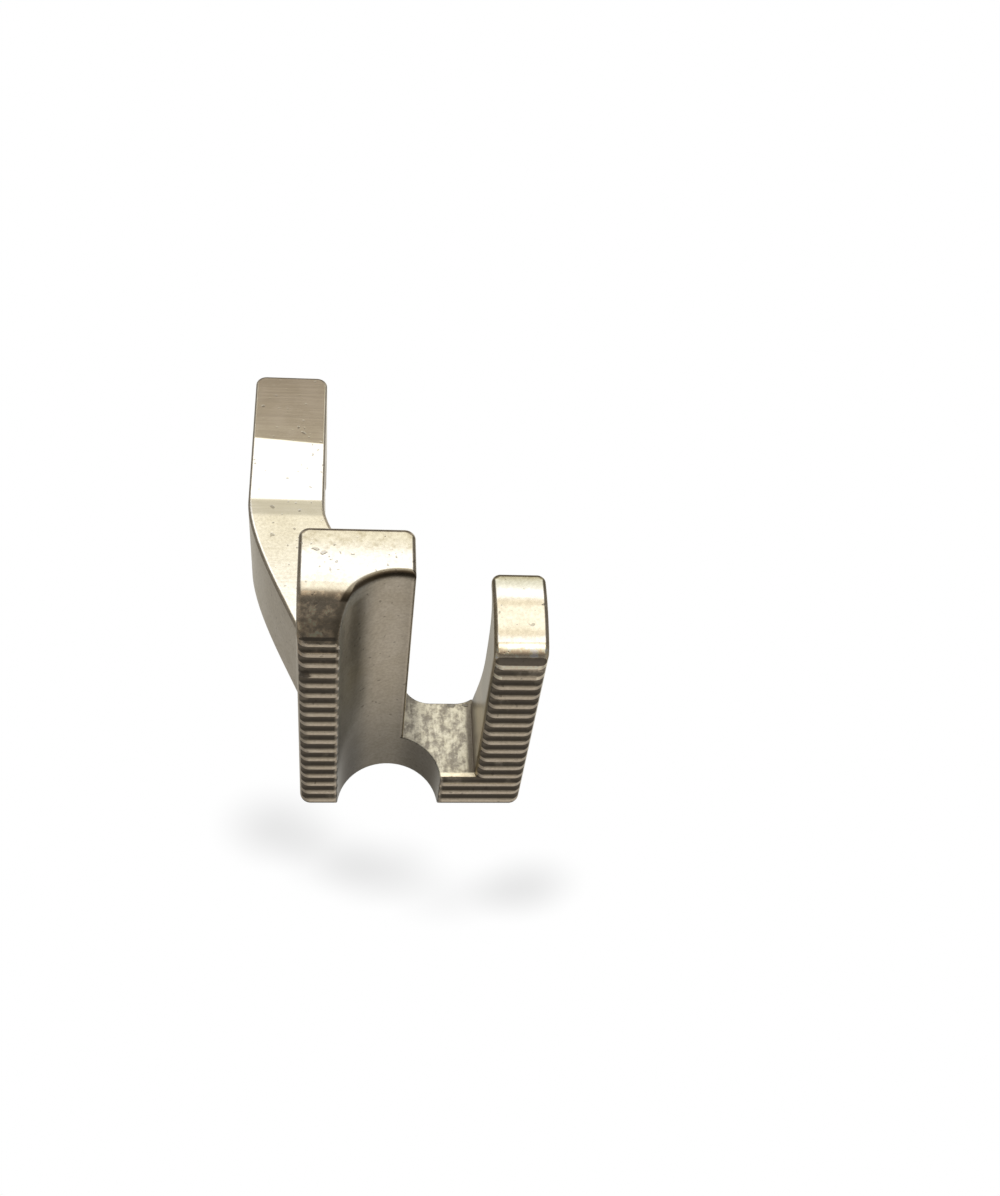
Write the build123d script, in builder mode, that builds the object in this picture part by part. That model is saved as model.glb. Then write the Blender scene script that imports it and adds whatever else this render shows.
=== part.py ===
"""Outer foot of a walking foot sewing machine, with a piping tunnel: one steel casting.

Millimetres. The lands of the sole lie on Z = 0, the toes point to -Y and the shank rises
along +Z. The origin is the middle of the foot's box, on the sole.
"""

import os

from build123d import *

# Overall sizes
foot_length = 30.1
foot_height = 45.35

# Left toe, with a toothed strip beside the tunnel
strip_width = 3.5
toe_past_axis = 1.37
left_toe_height = 10.0
left_ramp_run = 3.4
left_ramp_rise = 3.05
left_nose_fall = 0.3
left_nose_lean = 0.1

# Right toe, set back and lower, hollowed behind its nose
right_toe_width = 4.63
right_toe_height = 9.0
right_toe_setback = 3.6
right_ramp_run = 2.8
right_ramp_rise = 0.6
right_nose_fall = 1.0
right_nose_lean = 1.4
right_lip = 1.5
right_lip_round = 1.0
right_hollow_run = 7.8
right_hollow_z = 5.1
right_hollow_pull = 4.0
right_rise_radius = 0.9

# Noses of both toes
nose_round = 2.2
nose_crown = 0.1
nose_tip_z = 6.3

# Slot for the inner foot, closed by a bridge at the heel
slot_width = 6.6
bridge_length = 5.0
bridge_height = 8.5
bridge_fillet = 2.6
bridge_rise_length = 1.6
bridge_lap = 1.2

# Tunnel for piping of 3/8 inch
tunnel_radius = 4.76
mouth_flare = 0.75

# Teeth of the sole
tooth_pitch = 1.5
groove_width = 1.05
groove_depth = 0.4
heel_land = 1.2

# Neck and shank, cranked to the left of the toes
shank_width = 7.5
shank_depth = 12.0
shank_offset = 5.8
shank_foot_z = 27.9
neck_front_fillet = 0.6
neck_foot_pull = 1.3
neck_top_pull = 5.7

# Clamp slot for a screw of 11/64 inch, open to the rear
clamp_slot_width = 4.6
clamp_slot_depth = 7.0
clamp_slot_z = 37.0

# Rounded edges
sole_round = 1.0
tunnel_sole_round = 0.5
tunnel_slot_round = 0.3
left_toe_round = 0.9
right_toe_round = 0.75
nose_edge_round = 0.5
heel_round = 1.0
shank_round = 0.35
shank_corner_round = 1.1

# Places worked out from the sizes
tunnel_x = (tunnel_radius + strip_width + shank_offset
            - toe_past_axis - slot_width - right_toe_width) / 2
left_side_x = tunnel_x - tunnel_radius - strip_width
slot_left_x = tunnel_x + toe_past_axis
slot_right_x = slot_left_x + slot_width
right_side_x = slot_right_x + right_toe_width
shank_left_x = left_side_x - shank_offset
shank_right_x = shank_left_x + shank_width
heel_y = foot_length / 2
left_tip_y = heel_y - foot_length
left_face_y = left_tip_y + nose_crown
left_nose_top = left_toe_height - left_nose_fall
right_tip_y = left_tip_y + right_toe_setback
right_face_y = right_tip_y + nose_crown
right_nose_top = right_toe_height - right_nose_fall
right_lip_y = right_face_y + right_lip
right_hollow_y = right_tip_y + right_hollow_run
right_rise_pull = (2 * (right_toe_height - right_hollow_z) * right_rise_radius / 3) ** 0.5
bridge_front_y = heel_y - bridge_length
neck_front_y = heel_y - shank_depth
neck_fillet_y = neck_front_y - neck_front_fillet
neck_foot_z = left_toe_height + neck_front_fillet
neck_inner_foot_z = bridge_height + bridge_fillet
neck_inner_pull = (shank_foot_z - neck_inner_foot_z) / 3
first_land_y = heel_y - heel_land
left_grooves = round((foot_length - heel_land - left_ramp_run) / tooth_pitch)
left_land_end_y = first_land_y - left_grooves * tooth_pitch
right_grooves = round(
    (foot_length - heel_land - right_toe_setback - right_ramp_run) / tooth_pitch
)
right_land_end_y = first_land_y - right_grooves * tooth_pitch
groove_radius = (groove_width**2 / 4 + groove_depth**2) / (2 * groove_depth)
heel_plane = Plane.XZ.offset(-heel_y)


def at(value):
    """Limits for filter_by_position around one place."""
    return value - 0.01, value + 0.01


def toe_side(plane, top_line, land_end_y, tip_y, lean, ramp_rise):
    """Side view of a toe under its top line: flat sole, ramp, and a nose that leans back below."""
    top_start = top_line @ 0
    nose_top = top_line @ 1
    with BuildSketch(plane) as side:
        with BuildLine():
            add(top_line)
            Polyline(
                (top_start.X, top_start.Y),
                (heel_y, top_start.Y),
                (heel_y, 0),
                (land_end_y, 0),
                (tip_y + lean, ramp_rise),
            )
            ThreePointArc(
                (tip_y + lean, ramp_rise),
                (tip_y, nose_tip_z),
                (nose_top.X, nose_top.Y),
            )
        make_face()
        ramp_corner = side.vertices().filter_by_position(Axis.Y, *at(ramp_rise)).sort_by(Axis.X)[0]
        fillet(ramp_corner, nose_round)
    return side.sketch


# Left toe, and the foot of the neck on it
with BuildLine() as left_top:
    TangentArc(
        (neck_fillet_y, left_toe_height),
        (left_face_y, left_nose_top),
        tangent=(-1, 0),
    )
with BuildPart() as left_toe:
    left_plane = Plane.YZ.offset(left_side_x)
    left_toe_width = slot_left_x - left_side_x
    extrude(
        toe_side(left_plane, left_top.line, left_land_end_y, left_tip_y,
                 left_nose_lean, left_ramp_rise),
        amount=left_toe_width,
    )
    with BuildSketch(left_plane):
        with BuildLine():
            RadiusArc(
                (neck_fillet_y, left_toe_height),
                (neck_front_y, neck_foot_z),
                -neck_front_fillet,
            )
            Polyline(
                (neck_front_y, neck_foot_z),
                (heel_y, neck_foot_z),
                (heel_y, left_toe_height),
                (neck_fillet_y, left_toe_height),
            )
        make_face()
    extrude(amount=left_toe_width)
    left_top_edges = (
        edges()
        .filter_by(GeomType.CIRCLE)
        .filter_by_position(Axis.Y, left_tip_y, neck_front_y)
        .filter_by_position(Axis.Z, left_nose_top, neck_foot_z)
    )
    fillet(left_top_edges, left_toe_round)

# Right toe: its top falls from the bridge into a hollow, then rises steeply to the nose
with BuildLine() as right_top:
    Bezier(
        (bridge_front_y, right_toe_height),
        (bridge_front_y - right_rise_pull, right_toe_height),
        (right_hollow_y + right_hollow_pull, right_hollow_z),
        (right_hollow_y, right_hollow_z),
    )
    Bezier(
        (right_hollow_y, right_hollow_z),
        (right_hollow_y - right_hollow_pull, right_hollow_z),
        (right_lip_y, right_hollow_z),
        (right_lip_y, right_nose_top - right_lip_round),
    )
    RadiusArc(
        (right_lip_y, right_nose_top - right_lip_round),
        (right_lip_y - right_lip_round, right_nose_top),
        -right_lip_round,
    )
    Line((right_lip_y - right_lip_round, right_nose_top), (right_face_y, right_nose_top))
with BuildPart() as right_toe:
    right_plane = Plane.YZ.offset(slot_right_x)
    extrude(
        toe_side(right_plane, right_top.line, right_land_end_y, right_tip_y,
                 right_nose_lean, right_ramp_rise),
        amount=right_toe_width,
    )
    right_sole_edges = edges().filter_by(Axis.Y).filter_by_position(Axis.Z, *at(0))
    fillet(right_sole_edges, sole_round)
    right_top_edges = (
        edges()
        .filter_by(GeomType.LINE, reverse=True)
        .filter_by_position(Axis.Y, right_lip_y - right_lip_round - 0.01, heel_y)
        .filter_by_position(Axis.Z, right_hollow_z - 0.01, right_toe_height + 0.01)
    )
    right_top_edges += edges().filter_by(Axis.Y).filter_by_position(
        Axis.Z, right_nose_top - 0.01, right_toe_height + 0.01
    )
    fillet(right_top_edges, right_toe_round)
    right_nose_edge = (
        edges()
        .filter_by(Axis.X)
        .filter_by_position(Axis.Z, *at(right_nose_top))
        .sort_by(Axis.Y)[0]
    )
    fillet(right_nose_edge, nose_edge_round)

# Bridge, whose top runs up to the neck on one side and to the right toe on the other
with BuildPart() as bridge:
    with BuildSketch(heel_plane):
        with BuildLine():
            Polyline(
                (slot_left_x, neck_inner_foot_z),
                (slot_left_x, 0),
                (slot_right_x + bridge_lap, 0),
                (slot_right_x + bridge_lap, right_toe_height),
                (slot_right_x, right_toe_height),
            )
            TangentArc(
                (slot_right_x - bridge_rise_length, bridge_height),
                (slot_right_x, right_toe_height),
                tangent=(1, 0),
            )
            Line(
                (slot_right_x - bridge_rise_length, bridge_height),
                (slot_left_x + bridge_fillet, bridge_height),
            )
            RadiusArc(
                (slot_left_x + bridge_fillet, bridge_height),
                (slot_left_x, neck_inner_foot_z),
                bridge_fillet,
            )
        make_face()
    extrude(amount=bridge_length)

# Neck and shank
with BuildPart() as shank:
    with BuildSketch(heel_plane) as shank_front:
        with BuildLine():
            Bezier(
                (left_side_x, neck_foot_z),
                (left_side_x, neck_foot_z + neck_foot_pull),
                (shank_left_x, shank_foot_z - neck_top_pull),
                (shank_left_x, shank_foot_z),
            )
            Polyline(
                (shank_left_x, shank_foot_z),
                (shank_left_x, foot_height),
                (shank_right_x, foot_height),
                (shank_right_x, shank_foot_z),
            )
            Bezier(
                (shank_right_x, shank_foot_z),
                (shank_right_x, shank_foot_z - neck_inner_pull),
                (slot_left_x, neck_inner_foot_z + neck_inner_pull),
                (slot_left_x, neck_inner_foot_z),
            )
            Polyline(
                (slot_left_x, neck_inner_foot_z),
                (slot_left_x, neck_foot_z),
                (left_side_x, neck_foot_z),
            )
        make_face()
        fillet(shank_front.vertices().group_by(Axis.Y)[-1], shank_corner_round)
    extrude(amount=shank_depth)
    front_edges = edges().filter_by_position(Axis.Y, *at(neck_front_y))
    fillet(front_edges.filter_by_position(Axis.Z, neck_foot_z + 0.01, foot_height + 1), shank_round)

# The whole foot, cast in one piece
with BuildPart() as presser_foot:
    add([left_toe.part, right_toe.part, bridge.part, shank.part])

    # Outer edge of the left toe's sole
    sole_edges = edges().filter_by(Axis.Y).filter_by_position(Axis.Z, *at(0))
    fillet(sole_edges.filter_by_position(Axis.X, *at(left_side_x)), sole_round)

    # Outline of the heel, then of the left nose
    fillet(edges().filter_by_position(Axis.Y, *at(heel_y)), heel_round)
    left_nose_edge = (
        edges()
        .filter_by_position(Axis.X, left_side_x, slot_left_x)
        .filter_by_position(Axis.Z, *at(left_nose_top))
        .sort_by(Axis.Y)[0]
    )
    fillet(left_nose_edge, nose_edge_round)

    # Piping tunnel, right through from nose to heel, with its edges at the sole rounded
    with BuildSketch(heel_plane) as tunnel:
        with Locations((tunnel_x, 0)):
            Circle(tunnel_radius)
            Rectangle(4 * tunnel_radius, tunnel_radius, align=(Align.CENTER, Align.MAX))
        sole_corners = tunnel.vertices().filter_by_position(Axis.Y, *at(0)).sort_by(Axis.X)
        fillet(sole_corners[1:3], tunnel_sole_round)
    extrude(amount=foot_length, mode=Mode.SUBTRACT)

    # Edge between the tunnel and the slot
    slot_edges = edges().filter_by(Axis.Y).filter_by_position(Axis.X, *at(slot_left_x))
    fillet(slot_edges.sort_by(Axis.Z)[0], tunnel_slot_round)

    # Flared mouth of the tunnel in the nose
    with BuildSketch(Plane.XY):
        with BuildLine():
            RadiusArc(
                (tunnel_x + tunnel_radius, left_tip_y + mouth_flare),
                (tunnel_x + tunnel_radius + mouth_flare, left_tip_y),
                -mouth_flare,
            )
            Polyline(
                (tunnel_x + tunnel_radius + mouth_flare, left_tip_y),
                (tunnel_x + tunnel_radius + mouth_flare, left_tip_y - mouth_flare),
                (tunnel_x, left_tip_y - mouth_flare),
                (tunnel_x, left_tip_y + mouth_flare),
                (tunnel_x + tunnel_radius, left_tip_y + mouth_flare),
            )
        make_face()
    revolve(axis=Axis((tunnel_x, 0, 0), (0, 1, 0)), mode=Mode.SUBTRACT)

    # Clamp slot with a round end
    slot_end_y = heel_y - clamp_slot_depth + clamp_slot_width / 2
    with BuildSketch(Plane.YZ.offset(shank_left_x)):
        with Locations((slot_end_y, clamp_slot_z)):
            Circle(clamp_slot_width / 2)
        with Locations((slot_end_y, clamp_slot_z)):
            Rectangle(clamp_slot_depth, clamp_slot_width, align=(Align.MIN, Align.CENTER))
    extrude(amount=shank_width, mode=Mode.SUBTRACT)

    # Grooves across the sole, the last ones in the left strip alone
    for number in range(left_grooves):
        groove_y = first_land_y - (number + 0.5) * tooth_pitch
        groove_end_x = right_side_x if number < right_grooves else slot_left_x
        with BuildSketch(Plane.YZ.offset(left_side_x)):
            with Locations((groove_y, groove_depth - groove_radius)):
                Circle(groove_radius)
        extrude(amount=groove_end_x - left_side_x, mode=Mode.SUBTRACT)

presser_foot.part.label = "presser_foot"
os.makedirs("parts", exist_ok=True)
export_step(presser_foot.part, "parts/presser_foot.step")
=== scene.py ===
"""Looks for the outer foot of a walking foot: nickel plated steel, and a pale studio."""

import math

import bpy
import numpy as np
from mathutils import Matrix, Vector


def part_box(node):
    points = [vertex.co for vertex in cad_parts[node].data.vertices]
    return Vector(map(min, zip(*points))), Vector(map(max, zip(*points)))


bl_info = {
    "name": "Piping foot looks",
    "version": (1, 0, 0),
    "blender": (4, 5, 0),
    "location": "View3D > Sidebar > Foot",
    "description": "Plates the cast outer foot and puts it in a pale studio",
    "category": "Object",
}

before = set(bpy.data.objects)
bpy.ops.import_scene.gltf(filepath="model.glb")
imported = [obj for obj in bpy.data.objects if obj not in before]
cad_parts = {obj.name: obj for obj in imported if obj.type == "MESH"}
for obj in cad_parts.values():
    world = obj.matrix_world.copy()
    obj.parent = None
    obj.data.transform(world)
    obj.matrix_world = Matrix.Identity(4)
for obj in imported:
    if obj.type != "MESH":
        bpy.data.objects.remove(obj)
MM = 0.001
FOOT = "presser_foot"
LOW, HIGH = (np.array(corner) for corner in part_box(FOOT))

# Where the casting's faces lie, in millimetres
SHANK_DEPTH = 12.0
BRIDGE_DEPTH = 5.0
HEEL_LAND = 1.2
TOOTH_PITCH = 1.5
GROOVE_DEPTH = 0.4
TUNNEL_X = 0.73
TUNNEL_RADIUS = 4.76
MOUTH_FLARE = 0.75
SLOT_RIGHT_X = 8.70
HEEL_Y = HIGH[1] / MM
TOE_TIP_Y = LOW[1] / MM
SHANK_FRONT_Y = HEEL_Y - SHANK_DEPTH
BRIDGE_FRONT_Y = HEEL_Y - BRIDGE_DEPTH
FIRST_LAND_Y = HEEL_Y - HEEL_LAND

# Ground facets of the shank's front: heights of their lower edges in millimetres
BRUSHED_Z = 26.0
WHITE_FACET_Z = 28.05
TOP_FACET_Z = 35.15
TOP_FACET_SLOPE = 0.09

# How far the normals of the ground faces are tipped up, as a part of their length
SHANK_LEAN = 0.03
WHITE_FACET_LEAN = 0.07
TOP_FACET_LEAN = 0.102
RIGHT_TOP_LEAN = 0.03
RIGHT_FOOT_LEAN = 0.32

NO_TINT = (1.0, 1.0, 1.0, 1.0)

# Chips and pits: centre and half size in millimetres, and how dark each is
WEAR = (
    ((-6.95, -7.25, 0.10), (0.66, 0.46, 0.50), 0.95),
    ((6.76, 10.05, 8.30), (0.42, 0.30, 0.22), 0.75),
    ((8.15, 10.05, 8.35), (0.30, 0.30, 0.20), 0.75),
    ((8.85, -2.45, 4.80), (0.40, 0.60, 0.26), 0.80),
    ((-6.07, -15.0, 7.25), (0.34, 0.60, 0.18), 0.40),
    ((-5.45, -15.0, 6.85), (0.28, 0.60, 0.16), 0.40),
    ((12.93, -11.4, 4.70), (0.16, 0.60, 0.10), 0.70),
)

# Soft shadow on the floor: centre and half size in millimetres, and its depth
SHADE = (
    ((-9.7, 19.6), (4.8, 7.0), 0.185),
    ((-4.6, 25.6), (4.4, 6.8), 0.105),
    ((0.6, 29.0), (5.4, 7.0), 0.165),
    ((8.4, 35.0), (5.6, 6.6), 0.075),
    ((15.8, 32.9), (5.0, 6.8), 0.180),
)

# In metres: the floor just clears the sole, and the camera looks up at it from the toes
FLOOR_Z = -0.00002
CAMERA_PLACE = (-0.003962, -0.106334, -0.066215)
CAMERA_RIGHT = (0.99373, -0.09841, -0.05299)
CAMERA_UP = (-0.01676, -0.59993, 0.79988)
CAMERA_BACK = (-0.11051, -0.79398, -0.59782)


class PlatingSettings(bpy.types.PropertyGroup):
    """Colours and finish of the plated steel."""

    plate: bpy.props.FloatVectorProperty(
        name="Plate",
        description="Colour of the clean nickel plate",
        subtype="COLOR",
        size=3,
        min=0.0,
        max=1.0,
        default=(0.74, 0.68, 0.58),
    )
    # Its colour also paints the shade in the grooves of the sole
    grime_and_shade: bpy.props.FloatVectorProperty(
        name="Grime",
        description="Colour of the dirt in the grooves and corners",
        subtype="COLOR",
        size=3,
        min=0.0,
        max=1.0,
        default=(0.12, 0.105, 0.085),
    )
    roughness: bpy.props.FloatProperty(
        name="Roughness",
        description="Roughness of the polished faces",
        min=0.0,
        max=1.0,
        default=0.13,
    )
    speckle: bpy.props.FloatProperty(
        name="Speckle size",
        description="Size of the light and dark specks in the plate",
        subtype="DISTANCE",
        unit="LENGTH",
        default=0.00028,
    )
    edge_round: bpy.props.FloatProperty(
        name="Edge round",
        description="How far the light runs round a sharp edge",
        subtype="DISTANCE",
        unit="LENGTH",
        default=0.00012,
    )


class StudioSettings(bpy.types.PropertyGroup):
    """Lens of the camera, and the floor."""

    lens: bpy.props.FloatProperty(
        name="Lens",
        description="Focal length on a 36 mm sensor",
        subtype="DISTANCE_CAMERA",
        unit="CAMERA",
        default=42.98,
    )
    floor: bpy.props.FloatVectorProperty(
        name="Floor",
        description="Colour of the floor",
        subtype="COLOR",
        size=3,
        min=0.0,
        max=1.0,
        default=(0.92, 0.92, 0.92),
    )
    floor_size: bpy.props.FloatProperty(
        name="Floor size",
        description="Length of a side of the floor",
        subtype="DISTANCE",
        unit="LENGTH",
        default=1.6,
    )


class Nodes:
    """A node tree with short calls: each makes a node, sets its values and links its inputs."""

    def __init__(self, tree):
        self.tree = tree
        tree.nodes.clear()

    def add(self, kind, inputs=None, **values):
        node = self.tree.nodes.new(kind)
        for name, value in values.items():
            setattr(node, name, value)
        for name, value in (inputs or {}).items():
            if isinstance(value, bpy.types.NodeSocket):
                self.tree.links.new(value, node.inputs[name])
            else:
                node.inputs[name].default_value = value
        return node

    def math(self, operation, *terms, clamp=False):
        return self.add(
            "ShaderNodeMath", dict(enumerate(terms)), operation=operation, use_clamp=clamp
        ).outputs[0]

    def vector(self, operation, *terms):
        return self.add(
            "ShaderNodeVectorMath", dict(enumerate(terms)), operation=operation
        ).outputs[0]

    def smooth(self, value, start, end):
        """0 before start and 1 after end, with a smooth step between them."""
        return self.add(
            "ShaderNodeMapRange",
            {"Value": value, "From Min": start, "From Max": end},
            interpolation_type="SMOOTHSTEP",
        ).outputs["Result"]

    def between(self, value, low, high, soft):
        """1 from low to high and 0 outside, with soft edges."""
        return self.math(
            "MULTIPLY",
            self.smooth(value, low - soft, low + soft),
            self.smooth(value, high + soft, high - soft),
        )

    def away(self, where, centre, size):
        """Distance from the centre of an ellipsoid, 1 on its surface."""
        offset = self.vector("DIVIDE", self.vector("SUBTRACT", where, centre), size)
        return self.add("ShaderNodeVectorMath", {0: offset}, operation="LENGTH").outputs["Value"]

    def spot(self, where, centre, size):
        """1 inside an ellipsoid and 0 outside, with a soft rim."""
        return self.smooth(self.away(where, centre, size), 1.15, 0.75)

    def mix(self, factor, a, b, blend="MIX"):
        node = self.add("ShaderNodeMix", data_type="RGBA", blend_type=blend)
        for name, value in (("Factor_Float", factor), ("A_Color", a), ("B_Color", b)):
            socket = next(s for s in node.inputs if s.identifier == name)
            if isinstance(value, bpy.types.NodeSocket):
                self.tree.links.new(value, socket)
            else:
                socket.default_value = value
        return next(s for s in node.outputs if s.identifier == "Result_Color")

    def tint(self, mask, colour, factor):
        """The colour, multiplied by the factor where the mask is 1."""
        return self.mix(mask, colour, self.mix(1.0, colour, factor, "MULTIPLY"))

    def noise(self, where, scale, detail=2.0, roughness=0.5, stretch=(1, 1, 1), distortion=0.0):
        """Noise with features of about 1/scale metres, stretched along the axes."""
        mapping = self.add("ShaderNodeMapping", {"Vector": where, "Scale": stretch})
        return self.add(
            "ShaderNodeTexNoise",
            {
                "Vector": mapping.outputs[0],
                "Scale": scale,
                "Detail": detail,
                "Roughness": roughness,
                "Distortion": distortion,
            },
        ).outputs["Fac"]

    def ramp(self, value, stops):
        """Colours that run from stop to stop, each stop a place from 0 to 1 and a colour."""
        node = self.add("ShaderNodeValToRGB", {"Fac": value})
        elements = node.color_ramp.elements
        while len(elements) < len(stops):
            elements.new(0.5)
        for element, (position, colour) in zip(elements, stops):
            element.position = position
            element.color = (*colour, 1.0)
        return node.outputs["Color"]


def plated_steel(settings):
    """Nickel plate over cast and ground steel: fine specks, brushed faces, soiling and painted
    shade in the grooves, painted shade and highlights on the bridge, tunnel, slot and toes.
    """
    material = bpy.data.materials.new("plated_steel")
    material.use_nodes = True
    n = Nodes(material.node_tree)
    place = n.add("ShaderNodeTexCoord").outputs["Object"]
    geometry = n.add("ShaderNodeNewGeometry")
    x, y, z = (
        n.math("DIVIDE", socket, MM)
        for socket in n.add("ShaderNodeSeparateXYZ", {"Vector": place}).outputs
    )
    true_normal = n.add("ShaderNodeSeparateXYZ", {"Vector": geometry.outputs["True Normal"]})
    normal_x, normal_y, normal_z = true_normal.outputs

    # Faces that look to the front, and which part of the foot each belongs to
    to_front = n.smooth(normal_y, -0.9, -0.97)
    on_shank = n.between(y, SHANK_FRONT_Y - 1.5, SHANK_FRONT_Y + 1.5, 0.1)
    on_shank = n.math("MULTIPLY", to_front, on_shank)
    on_bridge = n.between(y, BRIDGE_FRONT_Y - 1.0, BRIDGE_FRONT_Y + 1.0, 0.1)
    on_bridge = n.math("MULTIPLY", to_front, on_bridge)
    on_noses = n.math("MULTIPLY", n.smooth(normal_y, -0.5, -0.7), n.smooth(y, -9.0, -9.6))
    down = n.smooth(normal_z, 0.05, -0.35)

    # Grooves of the sole: the fraction of a tooth runs from 0 on one land to 1 on the next
    tooth = n.math("DIVIDE", n.math("SUBTRACT", FIRST_LAND_Y, y), TOOTH_PITCH)
    groove = n.between(n.math("FRACT", tooth), 0.17, 0.83, 0.03)
    groove = n.math("MULTIPLY", groove, n.smooth(z, GROOVE_DEPTH + 0.08, GROOVE_DEPTH + 0.03))
    groove = n.math("MULTIPLY", groove, down)

    # Tunnel, its mouth, its left wall and its heel end
    from_axis = n.math("SUBTRACT", x, TUNNEL_X)
    reach = n.math(
        "SQRT", n.math("ADD", n.math("MULTIPLY", from_axis, from_axis), n.math("MULTIPLY", z, z))
    )
    in_tunnel = n.smooth(reach, TUNNEL_RADIUS + 0.15, TUNNEL_RADIUS + 0.05)
    groove = n.math("MULTIPLY", groove, n.smooth(reach, TUNNEL_RADIUS + 0.10, TUNNEL_RADIUS + 0.40))
    mouth = n.math(
        "MULTIPLY",
        n.between(reach, TUNNEL_RADIUS + 0.05, TUNNEL_RADIUS + 0.62, 0.08),
        n.between(y, TOE_TIP_Y - 0.1, TOE_TIP_Y + MOUTH_FLARE, 0.1),
    )
    left_wall = n.math("MULTIPLY", in_tunnel, n.smooth(from_axis, -1.4, -4.2))
    deep = n.math("MULTIPLY", in_tunnel, n.smooth(y, -4.0, HEEL_Y - 1.0))

    # Right toe: its side in the slot, and the top of its nose
    in_slot = n.math(
        "MULTIPLY",
        n.smooth(normal_x, -0.7, -0.95),
        n.between(x, SLOT_RIGHT_X - 0.2, SLOT_RIGHT_X + 0.2, 0.05),
    )
    near_bridge = n.math("MULTIPLY", in_slot, n.smooth(y, -2.0, 4.0))
    slot_corner = n.math("MULTIPLY", in_slot, n.smooth(y, 4.0, 7.5))
    slot_front = n.math("MULTIPLY", in_slot, n.smooth(y, 1.5, -1.0))
    on_right = n.smooth(x, SLOT_RIGHT_X - 0.7, SLOT_RIGHT_X - 0.2)
    right_top = n.math("MULTIPLY", n.math("MULTIPLY", on_right, n.smooth(z, 5.8, 6.8)), on_noses)

    # Specks, clouds and brushing
    specks = n.noise(place, 1 / settings.speckle, detail=3.0, roughness=0.6)
    clouds = n.noise(place, 350.0, detail=4.0, roughness=0.6)
    blotches = n.noise(place, 1150.0, detail=4.0, roughness=0.7)
    brushed = n.noise(place, 2600.0, detail=3.0, stretch=(0.05, 1, 1.4))
    streaks = n.noise(place, 1300.0, detail=4.0, stretch=(1.3, 1, 0.25), distortion=0.8)
    pits = n.smooth(n.noise(place, 1900.0, detail=1.0), 0.30, 0.25)

    # Colour of the plate: brushed on the shank, speckled elsewhere
    plate = (*settings.plate, 1.0)
    tone = n.mix(n.smooth(specks, 0.30, 0.70), (0.88, 0.87, 0.85, 1.0), (1.07, 1.07, 1.06, 1.0))
    lines = n.mix(n.smooth(brushed, 0.35, 0.65), (0.95, 0.945, 0.94, 1.0), (1.03, 1.03, 1.02, 1.0))
    on_facets = n.math("MULTIPLY", on_shank, n.smooth(z, BRUSHED_Z - 0.6, BRUSHED_Z + 0.6))
    strip = n.math("MULTIPLY", on_shank, n.between(z, BRUSHED_Z, WHITE_FACET_Z - 0.15, 0.25))
    plate = n.tint(strip, plate, (0.72, 0.72, 0.72, 1.0))
    colour = n.mix(1.0, plate, n.mix(on_facets, tone, lines), "MULTIPLY")
    mottled = n.math("MULTIPLY", on_noses, n.smooth(z, 6.9, 7.6))
    mottled = n.math("MULTIPLY", mottled, n.smooth(blotches, 0.52, 0.38))
    colour = n.tint(mottled, colour, (0.82, 0.80, 0.75, 1.0))
    haze = n.mix(n.smooth(clouds, 0.35, 0.7), (0.92, 0.91, 0.88, 1.0), (1.02, 1.02, 1.02, 1.0))
    colour = n.mix(1.0, colour, haze, "MULTIPLY")

    # Rough cast wall of the bridge, with painted shade and a painted highlight
    rough = n.math("MULTIPLY_ADD", streaks, 0.35, n.math("MULTIPLY", blotches, 0.65))
    wall = n.mix(n.smooth(rough, 0.40, 0.60), (0.31, 0.295, 0.27, 1.0), (0.74, 0.73, 0.65, 1.0))
    # Painted shade in the wall's right corner
    corner = n.smooth(x, SLOT_RIGHT_X - 0.75, SLOT_RIGHT_X - 0.35)
    wall = n.mix(corner, wall, (0.22, 0.205, 0.185, 1.0))
    # Painted highlight along the foot of the wall
    foot = n.smooth(z, 0.95, 0.75)
    wall = n.mix(foot, wall, (1.25, 1.20, 1.05, 1.0))
    # Painted shade on the wall's left side
    wall = n.tint(n.smooth(x, 5.2, 2.6), wall, (0.54, 0.54, 0.56, 1.0))
    colour = n.tint(on_bridge, colour, wall)

    # Painted shade in the tunnel, in the slot and on the top of the right nose
    for mask, painted_shading in (
        (in_tunnel, (0.86, 0.88, 0.90, 1.0)),
        # Painted reflection: the tunnel's left wall made lighter and bluer
        (left_wall, (1.02, 1.08, 1.16, 1.0)),
        (deep, (0.45, 0.46, 0.47, 1.0)),
        (n.math("MULTIPLY", deep, left_wall), (0.48, 0.48, 0.48, 1.0)),
        (mouth, (0.34, 0.32, 0.29, 1.0)),
        (in_slot, (0.64, 0.63, 0.60, 1.0)),
        (near_bridge, (0.92, 0.88, 0.82, 1.0)),
        (slot_corner, (0.42, 0.41, 0.39, 1.0)),
        (right_top, (0.66, 0.66, 0.58, 1.0)),
        (slot_front, (0.78, 0.78, 0.76, 1.0)),
    ):
        colour = n.tint(mask, colour, painted_shading)

    # Ramps of the toes, with light pits of wear, and darker next to the tunnel
    on_ramps = n.math("MULTIPLY", n.smooth(y, -8.7, -9.0), n.between(normal_z, -0.85, -0.45, 0.1))
    on_ramps = n.math("MULTIPLY", on_ramps, n.math("SUBTRACT", 1.0, in_tunnel))
    ramp_tone = n.mix(n.smooth(blotches, 0.42, 0.68), (0.80, 0.76, 0.72, 1.0), (1.9, 1.7, 1.5, 1.0))
    by_tunnel = n.smooth(reach, TUNNEL_RADIUS + 1.0, TUNNEL_RADIUS + 0.3)
    ramp_tone = n.mix(by_tunnel, ramp_tone, (0.55, 0.52, 0.48, 1.0))
    colour = n.tint(on_ramps, colour, ramp_tone)
    # Painted highlight: the right toe's ramp made lighter all over
    right_ramp_highlight = n.math("MULTIPLY", on_right, n.between(normal_z, -0.99, -0.45, 0.006))
    right_ramp_highlight = n.math("MULTIPLY", right_ramp_highlight, n.smooth(y, -6.5, -7.0))
    colour = n.tint(right_ramp_highlight, colour, (1.55, 1.55, 1.55, 1.0))

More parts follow.
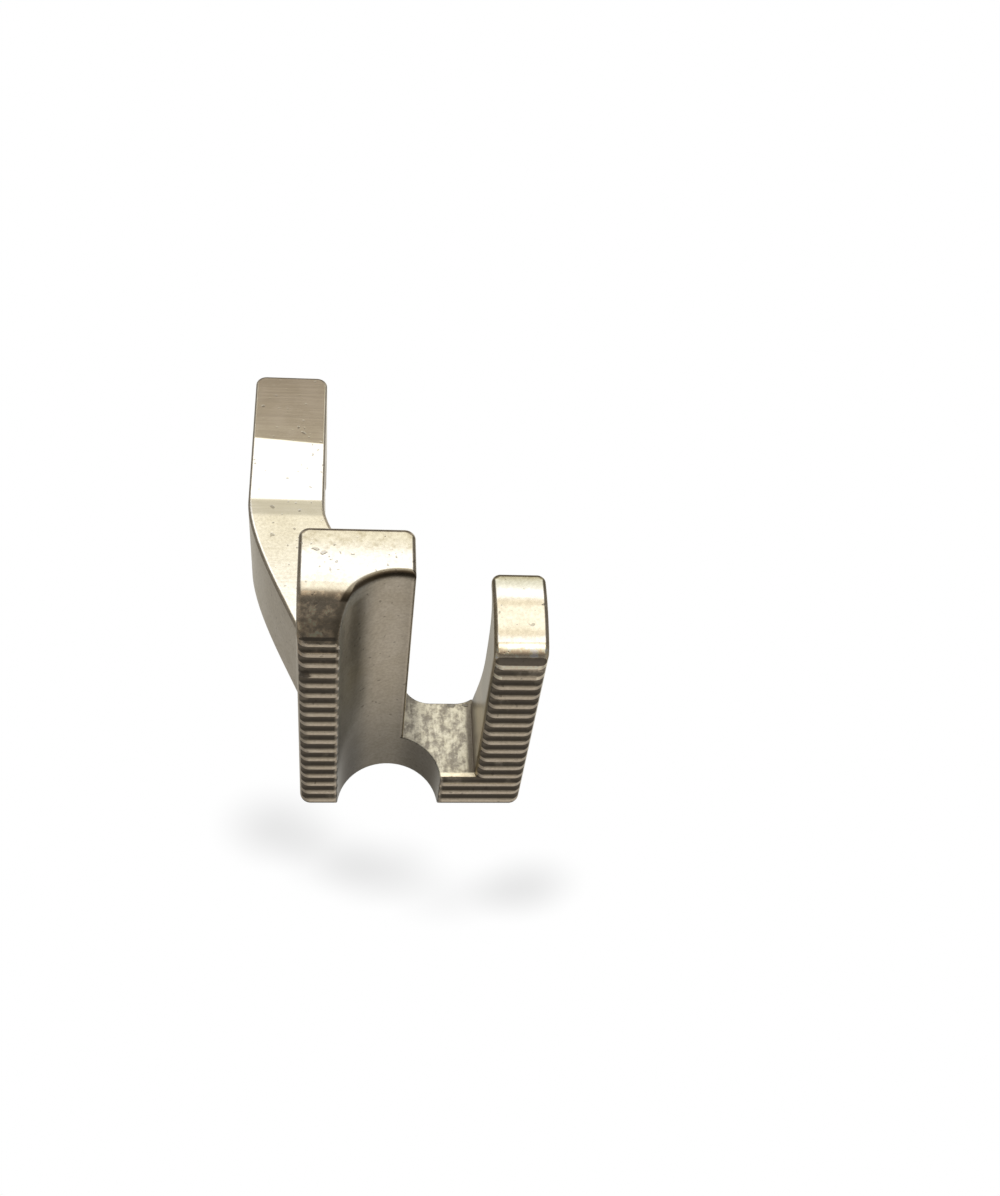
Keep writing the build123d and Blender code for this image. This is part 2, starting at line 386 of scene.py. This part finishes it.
    # Chips and pits, whose rims a fine noise makes ragged
    place_mm = n.vector("DIVIDE", place, (MM, MM, MM))
    wobble = n.add("ShaderNodeTexNoise", {"Vector": place, "Scale": 2500.0, "Detail": 2.0})
    ragged = n.vector("MULTIPLY_ADD", wobble.outputs["Color"], (0.4, 0.4, 0.4), place_mm)
    ragged = n.vector("SUBTRACT", ragged, (0.2, 0.2, 0.2))
    chipped = 0.0
    for centre, size, darkness in WEAR:
        spot = n.math("MULTIPLY", n.spot(ragged, centre, size), darkness)
        chipped = n.math("MAXIMUM", chipped, spot)

    # Soiling in the chips and pits, and soiling with painted shade in the grooves of the sole
    dirt_and_shade = (*settings.grime_and_shade, 1.0)
    grime_and_shade = n.math("MULTIPLY", groove, n.smooth(clouds, 0.05, 0.45))
    colour = n.mix(n.math("MULTIPLY", pits, 0.45), colour, dirt_and_shade)
    colour = n.mix(n.math("MULTIPLY", grime_and_shade, 0.90), colour, dirt_and_shade)
    colour = n.mix(chipped, colour, dirt_and_shade)

    # Ground facets of the shank's front, and the right nose, whose top leans back less
    facet_z = n.math("ADD", z, n.math("MULTIPLY", x, TOP_FACET_SLOPE))
    on_top_facet = n.smooth(facet_z, TOP_FACET_Z - 0.1, TOP_FACET_Z + 0.1)
    on_white_facet = n.smooth(z, WHITE_FACET_Z - 0.25, WHITE_FACET_Z + 0.25)
    lean = n.math("MULTIPLY", on_top_facet, TOP_FACET_LEAN)
    lean = n.math("SUBTRACT", lean, n.math("MULTIPLY", on_white_facet, WHITE_FACET_LEAN))
    lean = n.math("MULTIPLY", n.math("ADD", lean, SHANK_LEAN), on_shank)
    right_lean = n.math("MULTIPLY", on_right, n.smooth(z, 5.8, 8.0))
    right_lean = n.math("MULTIPLY", right_lean, n.math("MULTIPLY", on_noses, RIGHT_TOP_LEAN))
    lean = n.math("SUBTRACT", lean, right_lean)
    right_foot = n.math("MULTIPLY", on_right, n.smooth(z, 4.0, 1.2))
    right_foot = n.math("MULTIPLY", right_foot, n.math("MULTIPLY", on_noses, RIGHT_FOOT_LEAN))
    lean = n.math("ADD", lean, right_foot)

    # Fine relief
    relief = n.math(
        "ADD",
        n.math("MULTIPLY", specks, n.math("MULTIPLY_ADD", on_shank, -0.0000010, 0.0000018)),
        n.math("MULTIPLY", n.math("MULTIPLY", brushed, on_shank), 0.0000016),
    )
    relief = n.math("SUBTRACT", relief, n.math("MULTIPLY", pits, 0.000006))
    relief = n.math("SUBTRACT", relief, n.math("MULTIPLY", chipped, 0.00003))
    relief = n.math(
        "ADD", relief, n.math("MULTIPLY", n.math("MULTIPLY", rough, on_bridge), 0.00003)
    )
    edges = n.add("ShaderNodeBevel", {"Radius": settings.edge_round}, samples=4)
    bump = n.add(
        "ShaderNodeBump",
        {"Strength": 1.0, "Distance": 1.0, "Height": relief, "Normal": edges.outputs[0]},
    )
    leaning = n.add("ShaderNodeCombineXYZ", {"Z": lean}).outputs[0]
    normal = n.vector("NORMALIZE", n.vector("ADD", bump.outputs[0], leaning))

    # Roughness: cast faces duller than ground ones
    ground = n.math("MAXIMUM", on_shank, on_noses)
    roughness = n.math("MULTIPLY_ADD", n.math("SUBTRACT", 1.0, ground), 0.16, settings.roughness)
    roughness = n.math("ADD", roughness, n.math("MULTIPLY", grime_and_shade, 0.2), clamp=True)
    left_foot = n.math("MULTIPLY", n.smooth(x, 6.0, 5.5), n.smooth(z, 5.2, 4.2))
    left_foot = n.math("MULTIPLY", left_foot, n.smooth(y, -13.0, -13.5))
    roughness = n.math("MULTIPLY_ADD", left_foot, 0.14, roughness)

    shader = n.add(
        "ShaderNodeBsdfPrincipled",
        {"Base Color": colour, "Metallic": 1.0, "Roughness": roughness, "Normal": normal},
    )
    n.add("ShaderNodeOutputMaterial", {"Surface": shader.outputs[0]})
    return material


class OBJECT_OT_plate_foot(bpy.types.Operator):
    """Gives the cast foot its nickel plate"""

    bl_idname = "object.plate_foot"
    bl_label = "Plate the foot"

    def execute(self, context):
        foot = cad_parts[FOOT]
        foot.data.materials.clear()
        foot.data.materials.append(plated_steel(context.scene.foot_plating))
        return {"FINISHED"}


def sine(elevation):
    """Place of an elevation in degrees on a ramp that runs from straight down to straight up."""
    return (math.sin(math.radians(elevation)) + 1) / 2


def studio_world():
    """White for the camera. The metal mirrors bands of light and dark, as in an open tent."""
    world = bpy.data.worlds.new("studio")
    world.use_nodes = True
    n = Nodes(world.node_tree)
    direction = n.add("ShaderNodeTexCoord").outputs["Generated"]
    x, y, z = n.add("ShaderNodeSeparateXYZ", {"Vector": direction}).outputs
    height = n.math("MULTIPLY_ADD", z, 0.5, 0.5)
    white = (1.9, 2.0, 2.2)
    warm_white = (1.6, 1.6, 1.5)
    cream = (1.24, 1.22, 1.05)
    dim_cream = (1.28, 1.22, 1.05)
    brown = (0.43, 0.37, 0.305)
    dark = (0.105, 0.098, 0.090)
    taupe = (0.50, 0.455, 0.405)
    grey = (0.78, 0.76, 0.70)
    front = n.ramp(
        height,
        [
            (sine(-90), dark),
            (sine(-42), dark),
            (sine(-22), (0.34, 0.29, 0.24)),
            (sine(-6), (0.90, 0.83, 0.72)),
            (sine(4), warm_white),
            (sine(19), warm_white),
            (sine(21), dim_cream),
            (sine(26), dim_cream),
            (sine(28), white),
            (sine(40.2), white),
            (sine(41.4), cream),
            (sine(48.0), cream),
            (sine(49.3), brown),
            (sine(58), (0.46, 0.42, 0.37)),
            (sine(66), dark),
        ],
    )
    back = n.ramp(
        height,
        [
            (sine(-90), taupe),
            (sine(14), taupe),
            (sine(32), grey),
            (sine(60), grey),
            (sine(75), brown),
        ],
    )
    back = n.tint(n.smooth(x, 0.0, -0.45), back, (0.52, 0.52, 0.52, 1.0))
    mirrored = n.mix(n.smooth(y, -0.15, 0.25), front, back)
    side = n.smooth(n.math("ABSOLUTE", x), 0.42, 0.72)
    mirrored = n.mix(side, mirrored, (0.17, 0.155, 0.135, 1.0))
    path = n.add("ShaderNodeLightPath")
    colour = n.mix(path.outputs["Is Glossy Ray"], NO_TINT, mirrored)
    background = n.add("ShaderNodeBackground", {"Color": colour, "Strength": 1.0})
    n.add("ShaderNodeOutputWorld", {"Surface": background.outputs[0]})
    return world


def floor_material(settings):
    """Pale floor that shows from above; from below it is clear but for a painted soft shadow, so
    that the sole can be seen from below.
    """
    material = bpy.data.materials.new("floor")
    material.use_nodes = True
    n = Nodes(material.node_tree)
    path = n.add("ShaderNodeLightPath")
    place = n.add("ShaderNodeTexCoord").outputs["Object"]
    # Painted soft shadow, seen through the floor from below where the SHADE spots lie
    shade = 1.0
    for (x, y), (half_x, half_y), depth in SHADE:
        away = n.away(place, (x * MM, y * MM, 0.0), (half_x * MM, half_y * MM, 1.0))
        near = n.math("MULTIPLY", n.smooth(away, 1.5, 0.0), depth)
        shade = n.math("SUBTRACT", shade, near)
    tint = n.add("ShaderNodeCombineColor", {"Red": shade, "Green": shade, "Blue": shade})
    below = n.mix(path.outputs["Is Camera Ray"], NO_TINT, tint.outputs[0])
    backfacing = n.add("ShaderNodeNewGeometry").outputs["Backfacing"]
    shown = n.math(
        "MULTIPLY", path.outputs["Is Camera Ray"], n.math("SUBTRACT", 1.0, backfacing)
    )
    mix = n.add(
        "ShaderNodeMixShader",
        {
            0: shown,
            1: n.add("ShaderNodeBsdfTransparent", {"Color": below}).outputs[0],
            2: n.add("ShaderNodeBsdfDiffuse", {"Color": (*settings.floor, 1.0)}).outputs[0],
        },
    )
    n.add("ShaderNodeOutputMaterial", {"Surface": mix.outputs[0]})
    return material


def plane_mesh(name, size, height):
    """Square at a height: corner (i, j) lies at size times (i - 1/2, j - 1/2)."""
    i, j = np.meshgrid([0, 1], [0, 1])
    points = np.stack([(i - 0.5) * size, (j - 0.5) * size, np.full(i.shape, height)], -1)
    mesh = bpy.data.meshes.new(name)
    mesh.from_pydata(points.reshape(-1, 3).tolist(), [], [(0, 1, 3, 2)])
    return mesh


class SCENE_OT_foot_studio(bpy.types.Operator):
    """Makes the floor, the light and the camera"""

    bl_idname = "scene.foot_studio"
    bl_label = "Set up the studio"

    def execute(self, context):
        scene = context.scene
        settings = scene.foot_studio
        scene.view_settings.view_transform = "Standard"
        scene.world = studio_world()
        floor = bpy.data.objects.new("floor", plane_mesh("floor", settings.floor_size, FLOOR_Z))
        floor.data.materials.append(floor_material(settings))
        scene.collection.objects.link(floor)

        camera = bpy.data.objects.new("camera", bpy.data.cameras.new("camera"))
        camera.data.lens = settings.lens
        camera.data.sensor_width = 36.0
        camera.data.clip_start = 0.001
        axes = Matrix((CAMERA_RIGHT, CAMERA_UP, CAMERA_BACK)).transposed()
        camera.matrix_world = Matrix.LocRotScale(CAMERA_PLACE, axes.to_quaternion(), None)
        scene.collection.objects.link(camera)
        scene.camera = camera
        return {"FINISHED"}


class VIEW3D_PT_foot(bpy.types.Panel):
    """Lists the steps of the foot's looks"""

    bl_idname = "VIEW3D_PT_foot"
    bl_label = "Piping foot"
    bl_space_type = "VIEW_3D"
    bl_region_type = "UI"
    bl_category = "Foot"

    def draw(self, context):
        for settings in (context.scene.foot_plating, context.scene.foot_studio):
            for name in settings.__annotations__:
                self.layout.prop(settings, name)
        for operator in OPERATORS:
            self.layout.operator(operator.bl_idname)


OPERATORS = (OBJECT_OT_plate_foot, SCENE_OT_foot_studio)
CLASSES = (PlatingSettings, StudioSettings, *OPERATORS, VIEW3D_PT_foot)


def register():
    for cls in CLASSES:
        bpy.utils.register_class(cls)
    bpy.types.Scene.foot_plating = bpy.props.PointerProperty(type=PlatingSettings)
    bpy.types.Scene.foot_studio = bpy.props.PointerProperty(type=StudioSettings)


def unregister():
    del bpy.types.Scene.foot_studio
    del bpy.types.Scene.foot_plating
    for cls in reversed(CLASSES):
        bpy.utils.unregister_class(cls)


def main():
    register()
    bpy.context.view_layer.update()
    bpy.ops.object.plate_foot()
    bpy.ops.scene.foot_studio()


if __name__ == "__main__":
    main()
